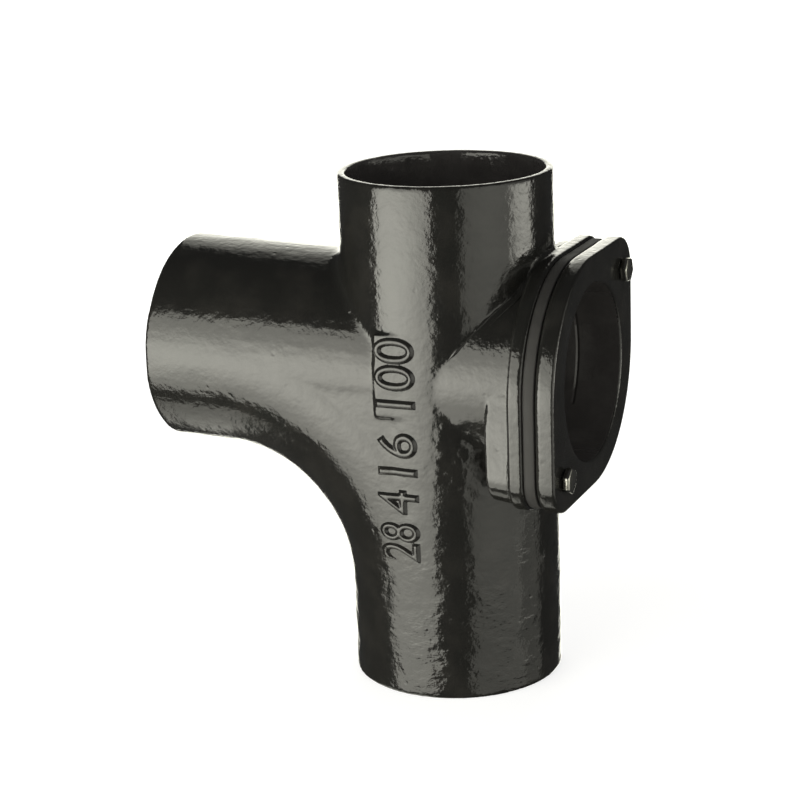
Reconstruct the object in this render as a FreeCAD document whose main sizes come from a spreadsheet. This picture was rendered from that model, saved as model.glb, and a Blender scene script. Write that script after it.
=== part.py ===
import FreeCAD, Part
import math
import os
import Sketcher
from FreeCAD import Placement, Rotation, Vector

# Soil pipe access branch for a 100 mm drainage stack, in millimetres.
# The origin is the middle of the lower spigot's end face and +Z runs up the barrel.
# The swept branch leaves toward -X, the bolted access door faces +X.

SIZES = {
    "pipe_radius": 55.0,
    "spigot_radius": 54.9,
    "bore_radius": 50.8,
    "barrel_length": 267.5,
    "lower_spigot": 46.0,
    "upper_spigot": 33.0,
    "spigot_step": 3.0,
    "branch_height": 166.0,
    "branch_reach": 150.5,
    "branch_tilt": 2.0,
    "branch_radius": 54.9,
    "bend_radius": 120.0,
    "web_width": 107.6,
    "web_cavity": 99.2,
    "stub_length": 114.0,
    "stub_radius": 54.8,
    "stub_bore": 50.5,
    "branch_bore": 50.7,
    "stub_taper": 0.4,
    "root_fillet": 7.0,
    "rim_round": 1.0,
    "rim_inner_round": 0.7,
    "door_height": 166.0,
    "neck_radius": 53.6,
    "neck_bore": 49.5,
    "flange_back": 53.5,
    "flange_depth": 8.0,
    "flange_half_width": 64.0,
    "flange_half_height": 59.8,
    "flange_lug": 18.5,
    "flange_round": 1.4,
    "flange_back_round": 1.8,
    "boss_round": 2.0,
    "bolt_across": 48.0,
    "bolt_up": 42.5,
    "boss_radius": 14.2,
    "boss_depth": 14.0,
    "boss_taper": 6.0,
    "thread_hole": 4.1,
    "gasket_depth": 6.0,
    "gasket_half_width": 62.5,
    "gasket_half_height": 58.3,
    "gasket_lug": 17.0,
    "gasket_bore": 50.0,
    "bolt_hole": 4.6,
    "door_depth": 10.5,
    "door_round": 1.5,
    "door_back_round": 4.0,
    "plug_radius": 48.0,
    "recess_radius": 45.5,
    "recess_shell": 55.3,
    "head_flats": 12.0,
    "upper_turn": 5.0,
    "lower_turn": 18.0,
    "head_depth": 4.2,
    "shank_radius": 4.0,
    "shank_length": 30.0,
    "shank_chamfer": 0.6,
}

doc = FreeCAD.newDocument("access_branch")
sheet = doc.addObject("Spreadsheet::Sheet", "sizes")
for row, (name, value) in enumerate(SIZES.items(), start=1):
    sheet.set("A%d" % row, name)
    sheet.set("B%d" % row, str(value))
    sheet.setAlias("B%d" % row, name)
doc.recompute()


# Small helpers: a body, a sketch on one of its planes, bound constraints, features

def new_body(name):
    body = doc.addObject("PartDesign::Body", name)
    body.Label = name
    return body


def new_sketch(body, name, role, forward="0", up="0", tilt=None):
    """A sketch on an origin plane, moved along the plane's normal and its second axis."""
    sketch = body.newObject("Sketcher::SketchObject", name)
    plane = [f for f in body.Origin.OriginFeatures if f.Role == role][0]
    sketch.AttachmentSupport = [(plane, "")]
    sketch.MapMode = "FlatFace"
    if tilt:
        sketch.AttachmentOffset = Placement(Vector(), Rotation(Vector(1, 0, 0), 1))
        sketch.setExpression("AttachmentOffset.Rotation.Angle", tilt)
    sketch.setExpression("AttachmentOffset.Base.z", forward)
    sketch.setExpression("AttachmentOffset.Base.y", up)
    doc.recompute()
    return sketch


def bind(sketch, kind, where, name, sign=1):
    """A constraint whose value follows one named size."""
    index = sketch.addConstraint(Sketcher.Constraint(kind, *where, sign * SIZES[name]))
    sketch.setExpression("Constraints[%d]" % index, "%d * sizes.%s" % (sign, name))


def tie(sketch, kind, *where):
    sketch.addConstraint(Sketcher.Constraint(kind, *where))


def place_at_bolt(sketch, index, sign=1):
    """Ties the middle of a round to the upper bolt's place, or to the lower one's for sign -1."""
    bind(sketch, "DistanceX", [-1, 1, index, 3], "bolt_across", sign)
    bind(sketch, "DistanceY", [-1, 1, index, 3], "bolt_up", sign)


def add_circle(sketch, radius, bolt=0):
    """A circle on the sketch's origin, or at the upper bolt for bolt 1 and the lower one for -1."""
    middle = Vector(bolt * SIZES["bolt_across"], bolt * SIZES["bolt_up"], 0)
    index = sketch.addGeometry(Part.Circle(middle, Vector(0, 0, 1), SIZES[radius]), False)
    bind(sketch, "Radius", [index], radius)
    if bolt:
        place_at_bolt(sketch, index, bolt)
    else:
        tie(sketch, "Coincident", index, 3, -1, 1)
    return index


def arc(x, y, radius, start, end):
    circle = Part.Circle(Vector(x, y, 0), Vector(0, 0, 1), radius)
    return Part.ArcOfCircle(circle, math.radians(start), math.radians(end))


def line(x0, y0, x1, y1):
    return Part.LineSegment(Vector(x0, y0, 0), Vector(x1, y1, 0))


def lug_outline(sketch, plate):
    """The plate's outline: two square corners that carry the bolts, and a wide round at the other two."""
    a, b, r = (SIZES[plate + part] for part in ("_half_width", "_half_height", "_lug"))
    k = a - b
    edges = [
        line(a, k, a, b - r), arc(a - r, b - r, r, 0, 90), line(a - r, b, 0, b), arc(0, -k, a, 90, 180),
        line(-a, -k, -a, r - b), arc(r - a, r - b, r, 180, 270), line(r - a, -b, 0, -b),
        arc(0, k, a, 270, 360),
    ]
    ids = [sketch.addGeometry(edge, False) for edge in edges]
    for one, two in zip(ids, ids[1:] + ids[:1]):
        tie(sketch, "Tangent", one, 2, two, 1)
    for number, kind in ((0, "Vertical"), (2, "Horizontal"), (4, "Vertical"), (6, "Horizontal")):
        tie(sketch, kind, ids[number])
    for number in (3, 7):
        tie(sketch, "PointOnObject", ids[number], 3, -2)
    tie(sketch, "Equal", ids[3], ids[7])
    tie(sketch, "Equal", ids[1], ids[5])
    bind(sketch, "Radius", [ids[3]], plate + "_half_width")
    bind(sketch, "Radius", [ids[1]], plate + "_lug")
    for number, sign in ((2, 1), (6, -1)):
        bind(sketch, "DistanceY", [-1, 1, ids[number], 2], plate + "_half_height", sign)


def bend_ends():
    """Where the bend leaves the branch's straight line, and the height where it meets the barrel's axis."""
    tilt = math.radians(SIZES["branch_tilt"])
    bend = SIZES["bend_radius"]
    straight = bend * (1 - math.sin(tilt)) / math.cos(tilt)
    turn = (-straight * math.cos(tilt), SIZES["branch_height"] + straight * math.sin(tilt))
    return turn, turn[1] - bend * math.cos(tilt)


def bend_path(sketch):
    """The swept branch's middle line: a straight spigot, then a bend onto the barrel's axis."""
    tilt = math.radians(SIZES["branch_tilt"])
    up, reach, bend = SIZES["branch_height"], SIZES["branch_reach"], SIZES["bend_radius"]
    end = (-reach * math.cos(tilt), up + reach * math.sin(tilt))
    turn, foot = bend_ends()
    axis = sketch.addGeometry(line(0, up, *end), True)
    spigot = sketch.addGeometry(line(*end, *turn), False)
    round_part = sketch.addGeometry(arc(-bend, foot, bend, 0, 90 - SIZES["branch_tilt"]), False)
    drop = sketch.addGeometry(line(0, foot, 0, 0), True)
    tie(sketch, "PointOnObject", axis, 1, -2)
    bind(sketch, "DistanceY", [-1, 1, axis, 1], "branch_height")
    bind(sketch, "Distance", [axis], "branch_reach")
    index = sketch.addConstraint(Sketcher.Constraint("Angle", axis, math.pi - tilt))
    sketch.setExpression("Constraints[%d]" % index, "180 - sizes.branch_tilt")
    tie(sketch, "Coincident", spigot, 1, axis, 2)
    tie(sketch, "PointOnObject", spigot, 2, axis)
    tie(sketch, "Tangent", spigot, 2, round_part, 2)
    tie(sketch, "Tangent", round_part, 1, drop, 1)
    tie(sketch, "Coincident", drop, 2, -1, 1)
    tie(sketch, "Vertical", drop)
    bind(sketch, "Radius", [round_part], "bend_radius")


def web_outline(sketch):
    """The flat sides between barrel, branch and bend, closed along the three middle lines."""
    tilt = math.radians(SIZES["branch_tilt"])
    up, bend = SIZES["branch_height"], SIZES["bend_radius"]
    turn, foot = bend_ends()
    top = sketch.addGeometry(line(0, up, *turn), False)
    round_part = sketch.addGeometry(arc(-bend, foot, bend, 0, 90 - SIZES["branch_tilt"]), False)
    side = sketch.addGeometry(line(0, foot, 0, up), False)
    tie(sketch, "PointOnObject", top, 1, -2)
    bind(sketch, "DistanceY", [-1, 1, top, 1], "branch_height")
    index = sketch.addConstraint(Sketcher.Constraint("Angle", top, math.pi - tilt))
    sketch.setExpression("Constraints[%d]" % index, "180 - sizes.branch_tilt")
    tie(sketch, "Tangent", top, 2, round_part, 2)
    tie(sketch, "Tangent", round_part, 1, side, 1)
    tie(sketch, "Coincident", side, 2, top, 1)
    tie(sketch, "Vertical", side)
    bind(sketch, "Radius", [round_part], "bend_radius")


def barrel_outline(sketch):
    """Half the barrel's section: a true spigot at each end and the wall between them as cast."""
    r, wide = SIZES["spigot_radius"], SIZES["pipe_radius"]
    length, step = SIZES["barrel_length"], SIZES["spigot_step"]
    low, high = SIZES["lower_spigot"], length - SIZES["upper_spigot"]
    points = [(0, 0), (r, 0), (r, low), (wide, low + step), (wide, high - step), (r, high), (r, length),
              (0, length)]
    ids = [sketch.addGeometry(line(*a, *b), False) for a, b in zip(points, points[1:] + points[:1])]
    for one, two in zip(ids, ids[1:] + ids[:1]):
        tie(sketch, "Coincident", one, 2, two, 1)
    end, lower, lower_step, wall, upper_step, upper, top, axis = ids
    tie(sketch, "Coincident", end, 1, -1, 1)
    for one in (end, top):
        tie(sketch, "Horizontal", one)
    for one in (lower, wall, upper, axis):
        tie(sketch, "Vertical", one)
    bind(sketch, "DistanceX", [end, 1, end, 2], "spigot_radius")
    bind(sketch, "DistanceX", [-1, 1, wall, 1], "pipe_radius")
    bind(sketch, "DistanceX", [-1, 1, upper, 1], "spigot_radius")
    bind(sketch, "DistanceY", [lower], "lower_spigot")
    bind(sketch, "DistanceY", [upper], "upper_spigot")
    bind(sketch, "DistanceY", [lower_step, 1, lower_step, 2], "spigot_step")
    bind(sketch, "DistanceY", [upper_step, 1, upper_step, 2], "spigot_step")
    bind(sketch, "DistanceY", [end, 1, top, 2], "barrel_length")


def add_turned(body, name, sketch):
    turned = body.newObject("PartDesign::Revolution", name)
    turned.Profile = sketch
    turned.ReferenceAxis = (sketch, ["V_Axis"])
    turned.Angle = 360
    return finish(turned, 1)


def add_pipe(body, kind, name, ring, path, way):
    pipe = body.newObject("PartDesign::" + kind, name)
    pipe.Profile = ring
    pipe.Spine = (path, ["Edge1", "Edge2"])
    return finish(pipe, way)


def add_pad(body, name, sketch, length, back=False, both=False, taper=None):
    pad = body.newObject("PartDesign::Pad", name)
    pad.Profile = sketch
    pad.setExpression("Length", length)
    pad.Reversed = back
    pad.Midplane = both
    if taper:
        pad.setExpression("TaperAngle", taper)
    return finish(pad, 1)


def add_pocket(body, name, sketch, length=None, back=False, both=False):
    pocket = body.newObject("PartDesign::Pocket", name)
    pocket.Profile = sketch
    pocket.Reversed = back
    pocket.Midplane = both
    if length:
        pocket.setExpression("Length", length)
    else:
        pocket.Type = "ThroughAll"
    return finish(pocket, -1)


def finish(feature, way=0):
    """Recomputes a feature and checks that it is sound and moved the volume its own way."""
    doc.recompute()
    if {"Invalid", "Error"} & set(feature.State) or not feature.Shape.isValid():
        raise RuntimeError("%s is not sound" % feature.Name)
    before = getattr(feature, "BaseFeature", None)
    gain = feature.Shape.Volume - (before.Shape.Volume if before else 0.0)
    print("%-22s volume %12.1f  change %12.1f  faces %d"
          % (feature.Name, feature.Shape.Volume, gain, len(feature.Shape.Faces)))
    if way * gain < 0 or (way and abs(gain) < 1e-6):
        raise RuntimeError("%s moved the volume the wrong way" % feature.Name)
    return feature


def edges_where(feature, test):
    """Names of the edges whose sampled points all pass a test."""
    found = []
    for number, edge in enumerate(feature.Shape.Edges, start=1):
        low, high = edge.ParameterRange
        points = [edge.valueAt(low + (high - low) * k / 8) for k in range(9)]
        if all(test(p) for p in points):
            found.append("Edge%d" % number)
    return found


def add_fillet(body, name, base, test, radius):
    fillet = body.newObject("PartDesign::Fillet", name)
    fillet.Base = (base, edges_where(base, test))
    fillet.setExpression("Radius", radius)
    return finish(fillet)


def from_barrel(p):
    """Distance from the barrel's axis."""
    return math.hypot(p.x, p.y)


def from_door(p):
    """Distance from the door's axis."""
    return math.hypot(p.y, p.z - SIZES["door_height"])


def from_branch(p):
    """Distance from the branch's tilted axis."""
    tilt = math.radians(SIZES["branch_tilt"])
    across = p.x * math.sin(tilt) + (p.z - SIZES["branch_height"]) * math.cos(tilt)
    return math.hypot(p.y, across)


def near(value, name, slack=0.05):
    return abs(value - SIZES[name]) < slack


def boss_outline(sketch):
    """One bolt boss joined to the neck by two straight sides that touch both rounds."""
    big, small = SIZES["neck_radius"], SIZES["boss_radius"]
    across, up = SIZES["bolt_across"], SIZES["bolt_up"]
    middle = math.degrees(math.atan2(up, across))
    spread = math.degrees(math.acos((big - small) / math.hypot(across, up)))
    low, high = middle - spread, middle + spread
    ends = {}
    for angle in (low, high):
        ux, uy = math.cos(math.radians(angle)), math.sin(math.radians(angle))
        ends[angle] = (big * ux, big * uy, across + small * ux, up + small * uy)
    ring = sketch.addGeometry(Part.Circle(Vector(), Vector(0, 0, 1), big), True)
    right = sketch.addGeometry(line(*ends[low]), False)
    nose = sketch.addGeometry(arc(across, up, small, low, high), False)
    x0, y0, x1, y1 = ends[high]
    left = sketch.addGeometry(line(x1, y1, x0, y0), False)
    chord = sketch.addGeometry(line(x0, y0, *ends[low][:2]), False)
    tie(sketch, "Coincident", ring, 3, -1, 1)
    bind(sketch, "Radius", [ring], "neck_radius")
    tie(sketch, "Tangent", right, 2, nose, 1)
    tie(sketch, "Tangent", nose, 2, left, 1)
    tie(sketch, "Coincident", left, 2, chord, 1)
    tie(sketch, "Coincident", chord, 2, right, 1)
    tie(sketch, "Tangent", right, 1, ring)
    tie(sketch, "Tangent", left, 2, ring)
    bind(sketch, "Radius", [nose], "boss_radius")
    place_at_bolt(sketch, nose)


# The door flange with its two tapped bosses, made apart and joined to the casting

door_flange = new_body("door_flange")
flange_plan = new_sketch(door_flange, "flange_plan", "YZ_Plane", "sizes.flange_back", "sizes.door_height")
lug_outline(flange_plan, "flange")
flange = add_pad(door_flange, "flange", flange_plan, "sizes.flange_depth")
flange_front = SIZES["flange_back"] + SIZES["flange_depth"]
front_edge = add_fillet(door_flange, "flange_front_edge", flange,
                        lambda p: abs(p.x - flange_front) < 0.01, "sizes.flange_round")
back_edge = add_fillet(door_flange, "flange_back_edge", front_edge,
                       lambda p: near(p.x, "flange_back", 0.01), "sizes.flange_back_round")
boss_plan = new_sketch(door_flange, "boss_plan", "YZ_Plane", "sizes.flange_back", "sizes.door_height")
boss_outline(boss_plan)
boss = add_pad(door_flange, "boss", boss_plan, "sizes.boss_depth", back=True, taper="-sizes.boss_taper")
bosses = door_flange.newObject("PartDesign::PolarPattern", "bosses")
bosses.Originals = [boss]
bosses.Axis = (boss_plan, ["N_Axis"])
bosses.Angle = 360
bosses.Occurrences = 2
door_flange.Tip = bosses
finish(bosses, 1)
boss_end = SIZES["flange_back"] - SIZES["boss_depth"]
boss_edge = add_fillet(door_flange, "boss_edge", bosses,
                       lambda p: abs(p.x - boss_end) < 0.01 and from_door(p) > SIZES["recess_radius"],
                       "sizes.boss_round")


# The casting: barrel, swept branch, neck, flange and the two tapped bosses

casting = new_body("branch_body")
barrel_section = new_sketch(casting, "barrel_section", "YZ_Plane")
barrel_outline(barrel_section)
barrel = add_turned(casting, "barrel", barrel_section)

AXIS_UP = "sizes.branch_height + sizes.%s * sin(sizes.branch_tilt)"
AXIS_OUT = "-sizes.%s * cos(sizes.branch_tilt)"
stub_ring = new_sketch(casting, "stub_ring", "YZ_Plane", AXIS_OUT % "stub_length",
                       AXIS_UP % "stub_length", "sizes.branch_tilt")
add_circle(stub_ring, "stub_radius")
stub = add_pad(casting, "stub", stub_ring, "sizes.stub_length", taper="-sizes.stub_taper")
web_plan = new_sketch(casting, "web_plan", "XZ_Plane")
web_outline(web_plan)
web = add_pad(casting, "web", web_plan, "sizes.web_width", both=True)

path = new_sketch(casting, "branch_path", "XZ_Plane")
bend_path(path)
branch_ring = new_sketch(casting, "branch_ring", "YZ_Plane", AXIS_OUT % "branch_reach",
                         AXIS_UP % "branch_reach", "sizes.branch_tilt")
add_circle(branch_ring, "branch_radius")
sweep = add_pipe(casting, "AdditivePipe", "sweep", branch_ring, path, 1)
root = add_fillet(casting, "branch_root", sweep,
                  lambda p: near(from_barrel(p), "pipe_radius") and near(from_branch(p), "stub_radius", 1),
                  "sizes.root_fillet")

neck_ring = new_sketch(casting, "neck_ring", "YZ_Plane", up="sizes.door_height")
add_circle(neck_ring, "neck_radius")
neck = add_pad(casting, "neck", neck_ring, "sizes.flange_back")
neck_root = add_fillet(casting, "neck_root", neck,
                       lambda p: near(from_barrel(p), "pipe_radius") and near(from_door(p), "neck_radius"),
                       "sizes.root_fillet")

joined = casting.newObject("PartDesign::Boolean", "joined_flange")
joined.Type = "Fuse"
joined.setObjects([door_flange])
finish(joined, 1)

# The ring is turned so that the bore's seam lies at the side, clear of the door and the branch
bore_ring = new_sketch(casting, "bore_ring", "XY_Plane")
add_circle(bore_ring, "bore_radius")
bore_ring.AttachmentOffset = Placement(Vector(), Rotation(Vector(0, 0, 1), 90))
bore = add_pocket(casting, "bore", bore_ring, "sizes.barrel_length", back=True)
stub_bore_ring = new_sketch(casting, "stub_bore_ring", "YZ_Plane", AXIS_OUT % "stub_length",
                            AXIS_UP % "stub_length", "sizes.branch_tilt")
add_circle(stub_bore_ring, "stub_bore")
stub_bore = add_pocket(casting, "stub_cavity", stub_bore_ring, "sizes.stub_length", back=True)
web_cavity = add_pocket(casting, "web_cavity", web_plan, "sizes.web_cavity", both=True)
branch_bore_ring = new_sketch(casting, "branch_bore_ring", "YZ_Plane", AXIS_OUT % "branch_reach",
                              AXIS_UP % "branch_reach", "sizes.branch_tilt")
add_circle(branch_bore_ring, "branch_bore")
sweep_bore = add_pipe(casting, "SubtractivePipe", "sweep_bore", branch_bore_ring, path, -1)
neck_bore_ring = new_sketch(casting, "neck_bore_ring", "YZ_Plane",
                            "sizes.flange_back + sizes.flange_depth", "sizes.door_height")
add_circle(neck_bore_ring, "neck_bore")
neck_cavity = add_pocket(casting, "neck_cavity", neck_bore_ring, "sizes.flange_back + sizes.flange_depth")
threads = new_sketch(casting, "threads", "YZ_Plane", "sizes.flange_back + sizes.flange_depth",
                     "sizes.door_height")
for sign in (1, -1):
    add_circle(threads, "thread_hole", sign)
tapped = add_pocket(casting, "tapped_holes", threads, "sizes.flange_depth + sizes.boss_depth + 1")


def at_end(p):
    """True on the three open ends: both ends of the barrel and the branch's end."""
    tilt = math.radians(SIZES["branch_tilt"])
    along = -p.x * math.cos(tilt) + (p.z - SIZES["branch_height"]) * math.sin(tilt)
    return (abs(p.z) < 0.01 or near(p.z, "barrel_length", 0.01) or near(along, "branch_reach", 0.01))


def from_pipe(p):
    """Distance from the axis of the pipe that the point belongs to."""
    return from_branch(p) if p.x < -SIZES["bend_radius"] else from_barrel(p)


rims = add_fillet(casting, "outer_rims", tapped,
                  lambda p: at_end(p) and near(from_pipe(p), "spigot_radius"), "sizes.rim_round")
inner_rims = add_fillet(casting, "inner_rims", rims,
                        lambda p: at_end(p) and near(from_pipe(p), "bore_radius", 0.2),
                        "sizes.rim_inner_round")
casting.Tip = inner_rims

# The flat rubber gasket between the flange and the door

gasket = new_body("door_gasket")
gasket_front = "sizes.flange_back + sizes.flange_depth"
gasket_plan = new_sketch(gasket, "gasket_plan", "YZ_Plane", gasket_front, "sizes.door_height")
lug_outline(gasket_plan, "gasket")
gasket_sheet = add_pad(gasket, "gasket_sheet", gasket_plan, "sizes.gasket_depth")
gasket_cut = new_sketch(gasket, "gasket_cut", "YZ_Plane", gasket_front, "sizes.door_height")
add_circle(gasket_cut, "gasket_bore")
for sign in (1, -1):
    add_circle(gasket_cut, "bolt_hole", sign)
gasket_holes = add_pocket(gasket, "gasket_holes", gasket_cut, "sizes.gasket_depth", back=True)
gasket.Tip = gasket_holes

# The access door: a lugged plate with a hollow plug that carries on the pipe's bore

door_back = gasket_front + " + sizes.gasket_depth"
door_face = door_back + " + sizes.door_depth"
hollow = new_body("door_hollow")
hollow_ring = new_sketch(hollow, "hollow_ring", "YZ_Plane", door_face, "sizes.door_height")
add_circle(hollow_ring, "recess_radius")
hollow_round = add_pad(hollow, "hollow_round", hollow_ring, door_face, back=True)
hollow_end = new_sketch(hollow, "hollow_end", "XY_Plane", "sizes.door_height")
add_circle(hollow_end, "recess_shell")
hollow_shell = add_pocket(hollow, "hollow_shell", hollow_end, both=True)
hollow.Tip = hollow_shell

door = new_body("access_door")
door_plan = new_sketch(door, "door_plan", "YZ_Plane", door_back, "sizes.door_height")
lug_outline(door_plan, "flange")
door_plate = add_pad(door, "door_plate", door_plan, "sizes.door_depth")
back_x = SIZES["flange_back"] + SIZES["flange_depth"] + SIZES["gasket_depth"]
front_x = back_x + SIZES["door_depth"]
door_rear = add_fillet(door, "door_rear_edge", door_plate,
                       lambda p: abs(p.x - back_x) < 0.01, "sizes.door_back_round")
door_front = add_fillet(door, "door_front_edge", door_rear,
                        lambda p: abs(p.x - front_x) < 0.01, "sizes.door_round")
plug_ring = new_sketch(door, "plug_ring", "YZ_Plane", door_back, "sizes.door_height")
add_circle(plug_ring, "plug_radius")
plug = add_pad(door, "plug", plug_ring, door_back, back=True)
plug_end = new_sketch(door, "plug_end", "XY_Plane", "sizes.door_height")
add_circle(plug_end, "bore_radius")
plug_cut = add_pocket(door, "plug_cut", plug_end, both=True)
recess = door.newObject("PartDesign::Boolean", "recess")
recess.Type = "Cut"
recess.setObjects([hollow])
finish(recess, -1)
rim = add_fillet(door, "recess_rim", recess,
                 lambda p: abs(p.x - front_x) < 0.01 and abs(from_door(p) - SIZES["recess_radius"]) < 0.01,
                 "sizes.door_round")
door_cut = new_sketch(door, "door_cut", "YZ_Plane", door_face, "sizes.door_height")
for sign in (1, -1):
    add_circle(door_cut, "bolt_hole", sign)
door_holes = add_pocket(door, "door_holes", door_cut, "sizes.door_depth")
door.Tip = door_holes

# The two hexagon head bolts that hold the door, in the lugs' corners


def hexagon(sketch, sign, turn):
    """The head's six flats round the bolt's middle, turned as the spanner left them."""
    reach = SIZES["head_flats"] / math.sqrt(3)
    across, up = sign * SIZES["bolt_across"], sign * SIZES["bolt_up"]
    angles = [math.radians(SIZES[turn] + 30 + 60 * k) for k in range(6)]
    corners = [(across + reach * math.cos(a), up + reach * math.sin(a)) for a in angles]
    ids = [sketch.addGeometry(line(*corners[k], *corners[(k + 1) % 6]), False) for k in range(6)]
    ring = sketch.addGeometry(Part.Circle(Vector(across, up, 0), Vector(0, 0, 1), reach), True)
    for one, two in zip(ids, ids[1:] + ids[:1]):
        tie(sketch, "Coincident", one, 2, two, 1)
    for one in ids:
        tie(sketch, "PointOnObject", one, 1, ring)
    for one in ids[1:]:
        tie(sketch, "Equal", ids[0], one)
    index = sketch.addConstraint(Sketcher.Constraint("Angle", ids[0], math.radians(SIZES[turn] + 150)))
    sketch.setExpression("Constraints[%d]" % index, "150 + sizes." + turn)
    index = sketch.addConstraint(Sketcher.Constraint("Radius", ring, reach))
    sketch.setExpression("Constraints[%d]" % index, "sizes.head_flats / sqrt(3)")
    place_at_bolt(sketch, ring, sign)


def make_bolt(name, sign, turn):
    bolt = new_body(name)
    head_plan = new_sketch(bolt, name + "_hexagon", "YZ_Plane", door_face, "sizes.door_height")
    hexagon(head_plan, sign, turn)
    head = add_pad(bolt, name + "_head", head_plan, "sizes.head_depth")
    ring = new_sketch(bolt, name + "_ring", "YZ_Plane", door_face, "sizes.door_height")
    add_circle(ring, "shank_radius", sign)
    shank = add_pad(bolt, name + "_shank", ring, "sizes.shank_length", back=True)
    tip_x = front_x - SIZES["shank_length"]
    point = bolt.newObject("PartDesign::Chamfer", name + "_point")
    point.Base = (shank, edges_where(shank, lambda p: abs(p.x - tip_x) < 0.01))
    point.setExpression("Size", "sizes.shank_chamfer")
    finish(point)
    bolt.Tip = point
    return bolt


upper_bolt = make_bolt("door_bolt_upper", 1, "upper_turn")
lower_bolt = make_bolt("door_bolt_lower", -1, "lower_turn")

# Checks and the written parts

os.makedirs("parts", exist_ok=True)
for item in doc.Objects:
    if {"Invalid", "Error"} & set(item.State):
        raise RuntimeError("%s has state %s" % (item.Name, item.State))
for sketch in doc.findObjects("Sketcher::SketchObject"):
    if not sketch.FullyConstrained:
        raise RuntimeError("%s is not fully constrained" % sketch.Name)
for body in (casting, gasket, door, upper_bolt, lower_bolt):
    shape = body.Shape
    if shape.isNull() or not shape.isValid() or len(shape.Solids) != 1:
        raise RuntimeError("%s is not one sound solid" % body.Label)
    shape.exportStep("parts/%s.step" % body.Label)
    print("%-18s %8.1f cm3" % (body.Label, shape.Volume / 1000))
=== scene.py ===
import math

import bpy
from mathutils import Matrix, Vector, noise


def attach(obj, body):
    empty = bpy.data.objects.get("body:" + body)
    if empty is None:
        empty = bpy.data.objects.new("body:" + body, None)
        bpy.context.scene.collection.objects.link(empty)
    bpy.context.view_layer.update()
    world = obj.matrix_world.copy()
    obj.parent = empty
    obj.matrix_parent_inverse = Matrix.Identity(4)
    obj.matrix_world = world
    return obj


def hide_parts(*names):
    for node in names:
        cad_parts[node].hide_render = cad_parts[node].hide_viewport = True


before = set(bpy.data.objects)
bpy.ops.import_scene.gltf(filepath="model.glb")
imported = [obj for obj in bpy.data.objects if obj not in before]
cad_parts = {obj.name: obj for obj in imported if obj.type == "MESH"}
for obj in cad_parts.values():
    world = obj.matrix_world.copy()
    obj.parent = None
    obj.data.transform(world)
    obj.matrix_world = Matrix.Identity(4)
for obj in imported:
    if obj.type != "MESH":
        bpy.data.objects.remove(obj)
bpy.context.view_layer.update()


# The branch casting is one piece of grey iron: a straight barrel, a swept branch and a short
# access neck with its flange. It is cast in sand, ground at the spigot ends and dipped in
# black gloss paint, which lies wavy, rounds the edges, fills the corners and runs down.
PIPE_RADIUS = 0.0550
DOOR_HEIGHT = 0.166
BORE_EDGE = 0.053
NECK_BORE_EDGE = 0.052
BRANCH_TILT = math.radians(2)
BEND_CENTRE = Vector((-0.120, 0, 0.0502))
NECK_RADIUS = 0.0536
NECK_END = 0.0500
FLANGE_CLEAR = 0.0025
BOLT_ACROSS = 0.0480
BOLT_UP = 0.0425
BOSS_START = 0.0360
BOSS_REACH = 0.0158
BOSS_BACK = 0.0395
BOSS_SLANT = 0.100
SLANT_START = 0.0295
SLANT_PIVOT = 0.027
SLANT_FROM_MIDDLE = 0.008
SLANT_FADE = 0.014
SLANT_FROM_BARREL = 0.001
SLANT_SIDE_FADE = 0.003
LUMP_LENGTH = 0.0055
LUMP_HEIGHT = 0.0006
LUMP_STRETCH = Vector((0.6, 1.0, 1.2))
LUMP_SOFTNESS = 0.9
LUMP_OCTAVES = 3
OCTAVE_RATIO = 2.0
LUMP_MIDDLE = 0.038
LUMP_SPREAD = 0.026
LUMP_START = 0.006
LUMP_FADE = 0.008
ROOT_CUT_LOW = Vector((0.004, -0.066, 0.160))
ROOT_CUT_HIGH = Vector((NECK_END, 0.066, 0.232))
ROOT_CUT_CLEARANCE = 0.00005
BAR_LENGTH = 0.3
NUMBER_PAD_LOW = Vector((-0.0195, -0.0551, 0.150))
NUMBER_PAD_HIGH = Vector((0.000, -0.0500, 0.1925))
SKIN_MESH = 0.0011
SKIN_ROUNDING = 4
SKIN_CORNERS = 95000
HIDDEN_SHARE = 0.06
SAND_WAVES = ((0.012, 0.00014), (0.030, 0.00018))
FOOT_LOW = 0.050
FOOT_HIGH = 0.120
GROOVE_PLACE = 0.0540
GROOVE_WIDTH = 0.0022
GROOVE_INNER = 0.0350
GROOVE_OUTER = 0.0360
PITS_PER_METRE = 75.0
PEEL_DEPTH = 0.24
RIPPLE_DEPTH = 0.28
WRINKLE_DEPTH = 0.85
PIT_DEPTH = 0.12
GROOVE_DEPTH = 0.55
PAINT_BLACK = (0.0115, 0.0113, 0.0103)
PAINT_DUST = (0.0200, 0.0190, 0.0170)
# The bores' black and their dust are lighter than the outer paint: painted light for the shaded inside walls
# and the door's sunk face.
BORE_BLACK_PAINTED_LIGHT = (0.045, 0.042, 0.041)
BORE_DUST_AND_PAINTED_LIGHT = (0.065, 0.061, 0.059)


class Field:
    """A value that varies over a surface, read from a node's output."""

    def __init__(self, finish, socket):
        self.finish = finish
        self.socket = socket

    def combine(self, operation, first, second):
        return self.finish.node("ShaderNodeMath", {"operation": operation}, {0: first, 1: second})

    def __abs__(self):
        return self.finish.node("ShaderNodeMath", {"operation": "ABSOLUTE"}, {0: self})

    def __add__(self, other):
        return self.combine("ADD", self, other)

    def __sub__(self, other):
        return self.combine("SUBTRACT", self, other)

    def __mul__(self, other):
        return self.combine("MULTIPLY", self, other)

    def __rmul__(self, other):
        return self.combine("MULTIPLY", other, self)


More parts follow.
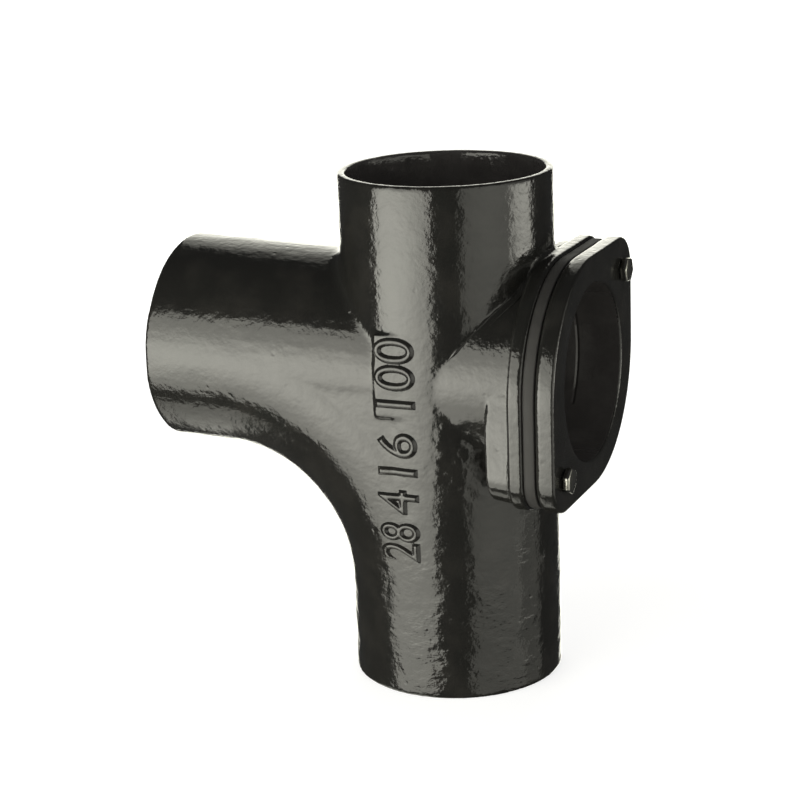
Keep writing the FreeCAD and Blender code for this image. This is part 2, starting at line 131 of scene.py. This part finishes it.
class Finish:
    """The shader of a paint, rubber, metal or lamp and the nodes that feed it."""

    def __init__(self, tree, shader):
        self.tree = tree
        self.shader = tree.nodes[shader]
        self.place = self.node("ShaderNodeTexCoord", {}, {}, "Object")

    def node(self, kind, settings, inputs, output=0):
        made = self.tree.nodes.new(kind)
        for name, value in settings.items():
            setattr(made, name, value)
        for name, value in inputs.items():
            if isinstance(value, Field):
                self.tree.links.new(value.socket, made.inputs[name])
            else:
                made.inputs[name].default_value = value
        return Field(self, made.outputs[output])

    def along(self, axis):
        return self.node("ShaderNodeSeparateXYZ", {}, {0: self.place}, axis)

    def noise(self, wave_length, detail=2.0, roughness=0.5, flatness=1.0):
        stretch = {0: self.place, 1: (1, 1, flatness)}
        place = self.node("ShaderNodeVectorMath", {"operation": "MULTIPLY"}, stretch)
        inputs = {"Vector": place, "Scale": 1 / wave_length, "Detail": detail, "Roughness": roughness}
        return self.node("ShaderNodeTexNoise", {}, inputs)

    def between(self, field, low, high, from_low=0.3, from_high=0.7, curve="LINEAR"):
        inputs = {0: field, 1: from_low, 2: from_high, 3: low, 4: high}
        return self.node("ShaderNodeMapRange", {"interpolation_type": curve}, inputs)

    def blend_colours(self, factor, first, second):
        inputs = {0: factor, 6: (*first, 1), 7: (*second, 1)}
        return self.node("ShaderNodeMix", {"data_type": "RGBA"}, inputs, 2)

    def bump(self, height_in_mm, strength=1.0):
        inputs = {"Strength": strength, "Distance": 0.001, "Height": height_in_mm}
        self.feed("Normal", self.node("ShaderNodeBump", {}, inputs))

    def feed(self, socket, field):
        self.tree.links.new(field.socket, self.shader.inputs[socket])


def new_finish(name, plain_values):
    material = bpy.data.materials.new(name)
    material.use_nodes = True
    finish = Finish(material.node_tree, "Principled BSDF")
    for socket, value in plain_values.items():
        finish.shader.inputs[socket].default_value = value
    return material, finish


def select_only(piece):
    bpy.ops.object.select_all(action="DESELECT")
    piece.select_set(True)
    bpy.context.view_layer.objects.active = piece


def apply_modifier(piece, kind, settings):
    select_only(piece)
    modifier = piece.modifiers.new(kind.lower(), kind)
    for name, value in settings.items():
        setattr(modifier, name, value)
    bpy.ops.object.modifier_apply(modifier=modifier.name)


def copy_of_node(node, name):
    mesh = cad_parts[node].data.copy()
    mesh.materials.clear()
    piece = bpy.data.objects.new(name, mesh)
    bpy.context.scene.collection.objects.link(piece)
    select_only(piece)
    bpy.ops.mesh.customdata_custom_splitnormals_clear()
    bpy.ops.object.mode_set(mode="EDIT")
    bpy.ops.mesh.select_all(action="SELECT")
    bpy.ops.mesh.remove_doubles(threshold=0.000001)
    bpy.ops.object.mode_set(mode="OBJECT")
    return piece


def block(name, low, high):
    bpy.ops.object.select_all(action="DESELECT")
    bpy.ops.mesh.primitive_cube_add(size=1, location=(low + high) / 2, scale=high - low)
    piece = bpy.context.object
    piece.name = name
    bpy.ops.object.transform_apply()
    return piece


def round_bar(name, radius, middle, turn):
    bpy.ops.object.select_all(action="DESELECT")
    bpy.ops.mesh.primitive_cylinder_add(vertices=256, radius=radius, depth=BAR_LENGTH,
                                        location=middle, rotation=(0, turn, 0))
    bar = bpy.context.object
    bar.name = name
    bpy.ops.object.transform_apply()
    return bar


def cut_away(piece, tool):
    apply_modifier(piece, "BOOLEAN", {"operation": "DIFFERENCE", "object": tool})
    bpy.data.objects.remove(tool)


def corner_of_the_root():
    """The iron to cut away so that the neck meets the barrel in a sharp corner."""
    cut = block("root_cut", ROOT_CUT_LOW, ROOT_CUT_HIGH)
    across = math.radians(90)
    boss_middle = (NECK_END, BOLT_ACROSS, DOOR_HEIGHT + BOLT_UP)
    cut_away(cut, round_bar("barrel_bar", PIPE_RADIUS + ROOT_CUT_CLEARANCE, (0, 0, BAR_LENGTH / 2), 0))
    cut_away(cut, round_bar("neck_bar", NECK_RADIUS + ROOT_CUT_CLEARANCE, (NECK_END, 0, DOOR_HEIGHT), across))
    cut_away(cut, round_bar("boss_bar", BOSS_REACH, boss_middle, across))
    return cut


def in_a_bore(place):
    """True for the inside walls, which are only seen through the open ends."""
    x, y, z = place
    across_branch = x * math.sin(BRANCH_TILT) + (z - DOOR_HEIGHT) * math.cos(BRANCH_TILT)
    across_bend = math.hypot(x - BEND_CENTRE.x, z - BEND_CENTRE.z) + BEND_CENTRE.x
    if math.hypot(x, y) < BORE_EDGE or (x < 0 and math.hypot(y, across_branch) < BORE_EDGE):
        return True
    if x > 0:
        return math.hypot(y, z - DOOR_HEIGHT) < NECK_BORE_EDGE
    beside_the_bend = x > BEND_CENTRE.x and BEND_CENTRE.z < z < DOOR_HEIGHT
    return beside_the_bend and math.hypot(y, across_bend) < BORE_EDGE


def on_the_flange(place):
    """True for the flange and its two bolt bosses, which keep their crisp shape."""
    if math.hypot(place.x, place.y) < PIPE_RADIUS + FLANGE_CLEAR or place.x < BOSS_START:
        return False
    from_boss = math.hypot(place.y - BOLT_ACROSS, place.z - DOOR_HEIGHT - BOLT_UP)
    return place.x > NECK_END or place.z < DOOR_HEIGHT or from_boss < BOSS_REACH


def toward_the_boss(place):
    """The distance up or down from the door's middle to a place, toward the boss on its side."""
    return DOOR_HEIGHT - place.z if place.y < 0 else place.z - DOOR_HEIGHT


def slant_share(place):
    """How far a place follows the slanted back of its boss, from 0 to 1."""
    from_barrel = (math.hypot(place.x, place.y) - PIPE_RADIUS - SLANT_FROM_BARREL) / SLANT_SIDE_FADE
    behind = (place.x - SLANT_START) / (BOSS_BACK - SLANT_START)
    before = (NECK_END - place.x) / (NECK_END - BOSS_BACK)
    outward = (toward_the_boss(place) - SLANT_FROM_MIDDLE) / SLANT_FADE
    return math.prod(max(0, min(1, share)) for share in (from_barrel, min(behind, before), outward))


def lump_height(place):
    """The height of the rough lumps that lie on the barrel under the neck."""
    if place.y > 0 or place.x < LUMP_START:
        return 0
    from_middle = abs(DOOR_HEIGHT - place.z - LUMP_MIDDLE)
    share = max(0, 1 - from_middle / LUMP_SPREAD) * min(1, (place.x - LUMP_START) / LUMP_FADE)
    stretched = LUMP_STRETCH * place / LUMP_LENGTH
    return share * LUMP_HEIGHT * noise.fractal(stretched, LUMP_SOFTNESS, OCTAVE_RATIO, LUMP_OCTAVES)


def group_corners(piece, name, corners):
    piece.vertex_groups.new(name=name).add(list(corners), 1.0, "REPLACE")


casting = copy_of_node("branch_body", "casting_skin")
cut_away(casting, corner_of_the_root())
number_pad = block("number_pad", NUMBER_PAD_LOW, NUMBER_PAD_HIGH)
select_only(casting)
number_pad.select_set(True)
bpy.ops.object.join()
apply_modifier(casting, "REMESH", {"mode": "VOXEL", "voxel_size": SKIN_MESH, "use_smooth_shade": True})
apply_modifier(casting, "SMOOTH", {"factor": 0.5, "iterations": SKIN_ROUNDING})
corners = casting.data.vertices
hidden = {corner.index for corner in corners if in_a_bore(corner.co)}
crisp = {corner.index for corner in corners if on_the_flange(corner.co)} - hidden
plain = set(range(len(corners))) - hidden - crisp
shown_share = (len(corners) - len(hidden) * (1 - HIDDEN_SHARE)) / len(corners)
group_corners(casting, "hidden", hidden)
group_corners(casting, "crisp", crisp)
group_corners(casting, "plain", plain)
apply_modifier(casting, "SHRINKWRAP", {"target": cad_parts["branch_body"], "vertex_group": "crisp"})
outward = [corner.normal.copy() for corner in corners]
for corner in corners:
    share = slant_share(corner.co)
    if corner.index not in hidden and share > 0:
        corner.co.x += share * BOSS_SLANT * (toward_the_boss(corner.co) - SLANT_PIVOT)
    elif corner.index in plain:
        corner.co += outward[corner.index] * lump_height(corner.co)
for length, depth in SAND_WAVES:
    sand = bpy.data.textures.new("sand_waves", "CLOUDS")
    sand.noise_scale = length
    waves = {"texture": sand, "texture_coords": "GLOBAL", "strength": depth, "mid_level": 0.5}
    apply_modifier(casting, "DISPLACE", waves)
apply_modifier(casting, "DECIMATE", {"ratio": shown_share, "vertex_group": "hidden"})
thinning = SKIN_CORNERS / len(casting.data.vertices)
apply_modifier(casting, "DECIMATE", {"ratio": thinning, "vertex_group": "plain"})


def gloss_paint(name, dark, dusty):
    """Thick paint with peel, ripples and pits, wrinkled in patches toward the barrel's foot."""
    material, paint = new_finish(name, {"IOR": 1.62})
    peel = paint.noise(wave_length=0.0034, detail=3.0, roughness=0.55)
    ripple = paint.noise(wave_length=0.011, detail=1.0)
    foot = paint.between(paint.along("Z"), 1, 0, from_low=FOOT_LOW, from_high=FOOT_HIGH)
    spread = paint.noise(wave_length=0.024, detail=1.0)
    patches = paint.between(spread, 0.15, 1, from_low=0.40, from_high=0.62)
    wrinkles = patches * paint.noise(wave_length=0.0085, detail=3.0, roughness=0.55, flatness=1.8)
    cells = paint.node("ShaderNodeTexVoronoi", {}, {"Vector": paint.place, "Scale": PITS_PER_METRE})
    pits = paint.between(cells, 1, 0, from_low=0.03, from_high=0.11)
    from_groove = abs(paint.along("X") - GROOVE_PLACE)
    in_groove = paint.between(from_groove, 1, 0, from_low=0, from_high=GROOVE_WIDTH / 2)
    past_neck = paint.between(abs(paint.along("Y")), 0, 1, from_low=GROOVE_INNER, from_high=GROOVE_OUTER)
    raised = PEEL_DEPTH * peel + RIPPLE_DEPTH * ripple + WRINKLE_DEPTH * (foot * wrinkles)
    paint.bump(raised - PIT_DEPTH * pits - GROOVE_DEPTH * (in_groove * past_neck))
    dust = paint.noise(wave_length=0.019, detail=3.0, roughness=0.6)
    dusted = paint.between(dust, 0, 1, from_low=0.45, from_high=0.8)
    paint.feed("Base Color", paint.blend_colours(dusted, dark, dusty))
    dullness = paint.noise(wave_length=0.016, detail=4.0, roughness=0.6)
    paint.feed("Roughness", paint.between(dullness, 0.08, 0.17))
    return material


black_paint = gloss_paint("black_gloss_paint", PAINT_BLACK, PAINT_DUST)
# A lighter copy of the black paint, with the same dust, painted light for the shade inside the bores and the
# sunk face.
bore_paint_painted_light = gloss_paint("bore_paint_painted_light", BORE_BLACK_PAINTED_LIGHT, BORE_DUST_AND_PAINTED_LIGHT)
casting.data.materials.append(black_paint)
casting.data.materials.append(bore_paint_painted_light)
# The inside walls take the lighter copy of the paint, a painted light in their shade.
for face in casting.data.polygons:
    face.material_index = int(in_a_bore(face.center))
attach(casting, "root")
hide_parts("branch_body")


# The foundry's plain numbers stand raised on the side of the barrel and read upwards. They are
# loose pattern figures with wide sloping sides, cast in one with the iron and softened by
# the paint. Each row has its figures and its lowest and highest place on the barrel.
NUMBER_ROWS = (("16 100", 0.1195, 0.1920), ("4", 0.0990, 0.1125), ("28", 0.0740, 0.0950))
NUMBER_TOP_X = -0.0200
NUMBER_FOOT_X = 0.0030
NUMBER_SIZE = 0.030
NUMBER_SLOPE = 0.0018
NUMBER_HEIGHT = 0.0015
NUMBER_THINNING = -0.0007
NUMBER_MESH = 0.0004
BEFORE_BARREL = -0.1


def raised_number(words, low, high):
    bpy.ops.object.select_all(action="DESELECT")
    bpy.ops.object.text_add()
    text = bpy.context.object
    text.data.body = words
    text.data.size = NUMBER_SIZE
    text.data.bevel_depth = NUMBER_SLOPE
    text.data.offset = NUMBER_THINNING
    text.data.bevel_resolution = 0
    bpy.ops.object.convert(target="MESH")
    number = bpy.context.object
    wide, tall, deep = number.dimensions
    number.scale = ((high - low) / wide, (NUMBER_FOOT_X - NUMBER_TOP_X) / tall, 2 * NUMBER_HEIGHT / deep)
    bpy.ops.object.transform_apply()
    left, foot = (min(corner[axis] for corner in number.bound_box) for axis in (0, 1))
    reading_up = ((0, -1, 0, NUMBER_FOOT_X + foot), (0, 0, -1, 0), (1, 0, 0, low - left), (0, 0, 0, 1))
    number.matrix_world = Matrix(reading_up)
    bpy.ops.object.transform_apply()
    return number


numbers = [raised_number(*row) for row in NUMBER_ROWS]
select_only(numbers[0])
for number in numbers:
    number.select_set(True)
bpy.ops.object.join()
cast_numbers = bpy.context.object
cast_numbers.name = "cast_numbers"
fine_mesh = {"mode": "VOXEL", "voxel_size": NUMBER_MESH, "use_smooth_shade": True}
apply_modifier(cast_numbers, "REMESH", fine_mesh)
for corner in cast_numbers.data.vertices:
    start = Vector((corner.co.x, BEFORE_BARREL, corner.co.z))
    on_barrel = casting.ray_cast(start, Vector((0, 1, 0)))[1]
    corner.co.y += on_barrel.y
apply_modifier(cast_numbers, "SMOOTH", {"factor": 0.5, "iterations": 2})
cast_numbers.data.materials.clear()
cast_numbers.data.materials.append(black_paint)
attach(cast_numbers, "root")


# Two thin ridges of iron and paint run along the corner where the access neck leaves the
# barrel: one in the corner itself and a shorter, broken one beside it on the neck. Each has its
# distance from the corner, half its thickness and the degrees round the neck where it lies.
RIDGES = (("corner_ridge", 0.0000, 0.0011, 14, 78), ("neck_ridge", 0.0042, 0.0008, 36, 72))
RIDGE_TIP = 0.15
RIDGE_TAPER = 8
RIDGE_WAVES = 0.004
RIDGE_MEAN = 0.85
RIDGE_SWING = 0.5

for name, offset, thickness, start, end in RIDGES:
    bpy.ops.object.select_all(action="DESELECT")
    bpy.ops.curve.primitive_nurbs_path_add()
    ridge = bpy.context.object
    ridge.name = name
    ridge.data.splines.clear()
    line = ridge.data.splines.new("POLY")
    line.points.add(end - start)
    for point, angle in zip(line.points, range(start, end + 1)):
        turn = math.radians(angle)
        side = NECK_RADIUS * math.cos(turn)
        forward = math.sqrt(PIPE_RADIUS ** 2 - side ** 2) + offset
        place = Vector((forward, -side, DOOR_HEIGHT + NECK_RADIUS * math.sin(turn)))
        point.co = (*place, 1)
        from_end = min(angle - start, end - angle) / RIDGE_TAPER
        uneven = RIDGE_MEAN + RIDGE_SWING * noise.noise(place / RIDGE_WAVES)
        point.radius = min(1, RIDGE_TIP + from_end) * uneven
    ridge.data.dimensions = "3D"
    ridge.data.bevel_depth = thickness
    ridge.data.use_fill_caps = True
    bpy.ops.object.convert(target="MESH")
    bpy.ops.object.shade_smooth()
    ridge.data.materials.append(black_paint)
    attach(ridge, "root")


# The gasket is a sheet of dark grey rubber cut to the flange's outline, with a hole for the
# plug behind the door. The bolts squeeze it, so its edge shows matt and slightly rounded
# between the two painted flanges.
GASKET_EDGE = 0.0007
RUBBER_GREY = (0.026, 0.025, 0.024)
RUBBER_WORN = (0.040, 0.038, 0.036)
RUBBER_GRAIN = 0.08

gasket = copy_of_node("door_gasket", "rubber_gasket")
bevel = {"width": GASKET_EDGE, "segments": 3, "limit_method": "ANGLE", "angle_limit": math.radians(50)}
apply_modifier(gasket, "BEVEL", bevel)
bpy.ops.object.shade_smooth_by_angle(angle=math.radians(35))
rubber_sheet, rubber = new_finish("matt_rubber", {"IOR": 1.5})
bloom = rubber.noise(wave_length=0.008, detail=4.0, roughness=0.65)
rubber.feed("Base Color", rubber.blend_colours(rubber.between(bloom, 0, 1), RUBBER_GREY, RUBBER_WORN))
rubber.feed("Roughness", rubber.between(bloom, 0.62, 0.8))
rubber.bump(RUBBER_GRAIN * rubber.noise(wave_length=0.0009))
gasket.data.materials.append(rubber_sheet)
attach(gasket, "root")
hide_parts("door_gasket")


# The access door is a second iron casting with two bolt lugs, a round sunk face and a
# plug that reaches through the gasket into the neck. It is dipped in the same black gloss paint,
# which rounds the rim of the sunk face. Inside the sunk face the lighter bore paint is painted light for the
# shade of that hollow.
RIM_ROUNDING = 0.0010
SUNK_FACE = 0.0770
SUNK_RADIUS = 0.0458

door = copy_of_node("access_door", "painted_door")
rounding = {"width": RIM_ROUNDING, "segments": 4, "limit_method": "ANGLE", "angle_limit": math.radians(60)}
apply_modifier(door, "BEVEL", rounding)
bpy.ops.object.shade_smooth_by_angle(angle=math.radians(40))
door.data.materials.append(black_paint)
door.data.materials.append(bore_paint_painted_light)
# The faces inside the sunk face take the lighter bore paint, a painted light in its shade.
for face in door.data.polygons:
    from_middle = math.hypot(face.center.y, face.center.z - DOOR_HEIGHT)
    face.material_index = int(from_middle < SUNK_RADIUS and face.center.x < SUNK_FACE)
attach(door, "root")
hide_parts("access_door")


# Two steel screws with hexagon heads hold the door, one in each lug. The heads are forged to
# six flats, chamfered on top and plated, and the plating has gone a dull olive grey. Each is
# listed with its node, its side of the door's middle and how far its head is turned.
SCREWS = (("upper_screw", "door_bolt_upper", 1, 20), ("lower_screw", "door_bolt_lower", -1, 3))
DOOR_FACE = 0.0780
HEAD_FLATS = 0.0120
HEAD_DEPTH = 0.0042
HEAD_CHAMFER = 0.0010
HEAD_EDGE = 0.0010
SHANK_RADIUS = 0.0040
SHANK_LENGTH = 0.0300
STEEL_LIGHT = (0.66, 0.65, 0.60)
STEEL_DARK = (0.17, 0.165, 0.14)
STEEL_GRAIN = 0.05
STEEL_DENTS = 0.20

dull_steel, steel = new_finish("dull_steel", {"Metallic": 1.0})
stain = steel.noise(wave_length=0.004, detail=4.0, roughness=0.65)
steel.feed("Base Color", steel.blend_colours(steel.between(stain, 0, 1), STEEL_LIGHT, STEEL_DARK))
steel.feed("Roughness", steel.between(stain, 0.16, 0.30))
grain = steel.noise(wave_length=0.0012, detail=3.0)
dents = steel.noise(wave_length=0.006, detail=1.0)
steel.bump(STEEL_GRAIN * grain + STEEL_DENTS * dents)


def hexagon_screw(name, side, turn):
    bpy.ops.object.select_all(action="DESELECT")
    bpy.ops.mesh.primitive_cylinder_add(vertices=32, radius=SHANK_RADIUS, depth=SHANK_LENGTH,
                                        location=(0, 0, -SHANK_LENGTH / 2))
    shank = bpy.context.object
    depth = HEAD_DEPTH - HEAD_CHAMFER / 2
    bpy.ops.mesh.primitive_cylinder_add(vertices=6, radius=HEAD_FLATS / math.sqrt(3), depth=depth,
                                        location=(0, 0, depth / 2))
    head = bpy.context.object
    bpy.ops.object.transform_apply()
    for face in head.data.polygons:
        face.select = face.normal.z > 0.9
    bpy.ops.object.mode_set(mode="EDIT")
    bpy.ops.mesh.inset(thickness=HEAD_CHAMFER)
    bpy.ops.transform.translate(value=(0, 0, HEAD_CHAMFER / 2))
    bpy.ops.object.mode_set(mode="OBJECT")
    edges = {"width": HEAD_EDGE, "segments": 3, "limit_method": "ANGLE", "angle_limit": math.radians(15)}
    apply_modifier(head, "BEVEL", edges)
    shank.select_set(True)
    bpy.ops.object.join()
    head.name = name
    head.rotation_euler.z = math.radians(turn)
    bpy.ops.object.transform_apply()
    across, high = side * BOLT_ACROSS, DOOR_HEIGHT + side * BOLT_UP
    head.matrix_world = Matrix(((0, 0, 1, DOOR_FACE), (1, 0, 0, across), (0, 1, 0, high), (0, 0, 0, 1)))
    bpy.ops.object.transform_apply()
    bpy.ops.object.shade_smooth_by_angle(angle=math.radians(28))
    return head


for name, node, side, turn in SCREWS:
    screw = hexagon_screw(name, side, turn)
    screw.data.materials.append(dull_steel)
    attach(screw, "root")
    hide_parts(node)


# The studio is a pale floor in white surroundings. A soft lamp stands close on the left, two
# more stand to the right and a bright wide one behind, and a low one lights the underside.
# The gloss paint shows them as its bands of light.
LAMP_AIM = Vector((0, 0, 0.13))
LAMP_COLOUR = (1.0, 0.99, 0.88)
FLOOR_SIZE = 6.0
FLOOR_GREY = (0.5, 0.5, 0.5, 1)
FLOOR_NEAR = 0.15
FLOOR_FAR = 0.8
SEEN_WHITE = 0.96
FILL_LIGHT = 0.26
MIRRORED_LIGHT = 0.04


def direction(azimuth, elevation):
    azimuth, elevation = math.radians(azimuth), math.radians(elevation)
    flat = math.cos(elevation)
    return Vector((math.sin(azimuth) * flat, -math.cos(azimuth) * flat, math.sin(elevation)))


def soft_lamp(name, shape, azimuth, elevation, width, height, distance, level, rim, spot, reach):
    """A soft box of the given width and height in degrees, brightest at a spot on its face."""
    lamp = bpy.data.lights.new(name, "AREA")
    lamp.shape = shape
    lamp.color = LAMP_COLOUR
    lamp.size = 2 * distance * math.tan(math.radians(width / 2))
    lamp.size_y = 2 * distance * math.tan(math.radians(height / 2))
    lamp.energy = level * math.pi * lamp.size * lamp.size_y * (math.pi / 4 if shape == "ELLIPSE" else 1)
    lamp.use_nodes = True
    glow = Finish(lamp.node_tree, "Emission")
    face = glow.node("ShaderNodeNewGeometry", {}, {}, "Parametric")
    middle = (0.5 + spot[0] / lamp.size, 0.5 + spot[1] / lamp.size_y, 0)
    offset = glow.node("ShaderNodeVectorMath", {"operation": "SUBTRACT"}, {0: face, 1: middle})
    scaled = {0: offset, 1: (lamp.size / reach[0], lamp.size_y / reach[1], 0)}
    offset = glow.node("ShaderNodeVectorMath", {"operation": "MULTIPLY"}, scaled)
    away = glow.node("ShaderNodeVectorMath", {"operation": "LENGTH"}, {0: offset}, "Value")
    glow.feed("Strength", glow.between(away, 1, rim, 0, 1, "SMOOTHSTEP"))
    stand = bpy.data.objects.new(name, lamp)
    bpy.context.scene.collection.objects.link(stand)
    outward = direction(azimuth, elevation)
    stand.location = LAMP_AIM + outward * distance
    stand.rotation_euler = outward.to_track_quat("Z", "Y").to_euler()
    stand.visible_camera = False


soft_lamp("left_softbox", "ELLIPSE", azimuth=-26.4, elevation=-4.6, width=62, height=79,
          distance=0.56, level=5.5, rim=0.45, spot=(-0.08, 0.02), reach=(0.53, 0.30))
soft_lamp("right_panel", "RECTANGLE", azimuth=66.5, elevation=-5, width=58, height=70,
          distance=1.3, level=1.09, rim=0.60, spot=(0, 0.20), reach=(1.2, 0.9))
soft_lamp("right_strip", "RECTANGLE", azimuth=107.5, elevation=0, width=29, height=70,
          distance=1.3, level=3.9, rim=0.10, spot=(0, -0.05), reach=(0.90, 0.41))
soft_lamp("back_panel", "RECTANGLE", azimuth=200, elevation=5, width=42, height=100,
          distance=1.3, level=3.0, rim=0.10, spot=(0, -0.40), reach=(1.9, 1.9))
soft_lamp("low_card", "RECTANGLE", azimuth=-98.6, elevation=-63.4, width=51, height=33,
          distance=0.63, level=1.35, rim=0.80, spot=(-0.30, 0), reach=(0.6, 0.6))

bpy.ops.object.select_all(action="DESELECT")
bpy.ops.mesh.primitive_circle_add(vertices=96, radius=FLOOR_SIZE, fill_type="NGON")
floor = bpy.context.object
floor.name = "floor"
floor.visible_glossy = False
floor.visible_shadow = False
pale_values = {"Base Color": FLOOR_GREY, "Roughness": 0.9, "Emission Strength": 1.0}
pale_floor, pale = new_finish("pale_floor", pale_values)
seen = pale.node("ShaderNodeLightPath", {}, {}, "Is Camera Ray")
from_object = pale.node("ShaderNodeVectorMath", {"operation": "LENGTH"}, {0: pale.place}, "Value")
brightness = seen * pale.between(from_object, 0.75, 1.0, from_low=FLOOR_NEAR, from_high=FLOOR_FAR)
pale.feed("Emission Color", pale.blend_colours(brightness, (0, 0, 0), (1, 1, 1)))
floor.data.materials.append(pale_floor)

world = bpy.data.worlds.new("white_surroundings")
bpy.context.scene.world = world
world.use_nodes = True
surroundings = Finish(world.node_tree, "Background")
surroundings.shader.inputs["Color"].default_value = (1, 1, 1, 1)
seen = surroundings.node("ShaderNodeLightPath", {}, {}, "Is Camera Ray")
scattered = surroundings.node("ShaderNodeLightPath", {}, {}, "Is Diffuse Ray")
surroundings.feed("Strength", SEEN_WHITE * seen + FILL_LIGHT * scattered + MIRRORED_LIGHT)

bpy.context.scene.view_settings.view_transform = "Standard"


# The camera stands to the right of the branch and a little above it, turned by a small roll.
# Its long lens looks at a point beside the middle of the barrel.
CAMERA_AZIMUTH = 23.549
CAMERA_ELEVATION = 16.027
CAMERA_ROLL = math.radians(-2.148)
CAMERA_DISTANCE = 1.129366
CAMERA_ASIDE = -0.0271385
CAMERA_HEIGHT = 0.146028
CAMERA_LENS = 97.487
CAMERA_SENSOR = 36

back = direction(CAMERA_AZIMUTH, CAMERA_ELEVATION)
right = Vector((math.cos(math.radians(CAMERA_AZIMUTH)), math.sin(math.radians(CAMERA_AZIMUTH)), 0))
up = back.cross(right)
across = right * math.cos(CAMERA_ROLL) + up * math.sin(CAMERA_ROLL)
upright = up * math.cos(CAMERA_ROLL) - right * math.sin(CAMERA_ROLL)
lens = bpy.data.cameras.new("camera")
lens.sensor_width = CAMERA_SENSOR
lens.lens = CAMERA_LENS
camera = bpy.data.objects.new("camera", lens)
bpy.context.scene.collection.objects.link(camera)
turned = Matrix((across, upright, back)).transposed().to_4x4()
turned.translation = right * CAMERA_ASIDE + Vector((0, 0, CAMERA_HEIGHT)) + back * CAMERA_DISTANCE
camera.matrix_world = turned
bpy.context.scene.camera = camera

bpy.context.view_layer.update()
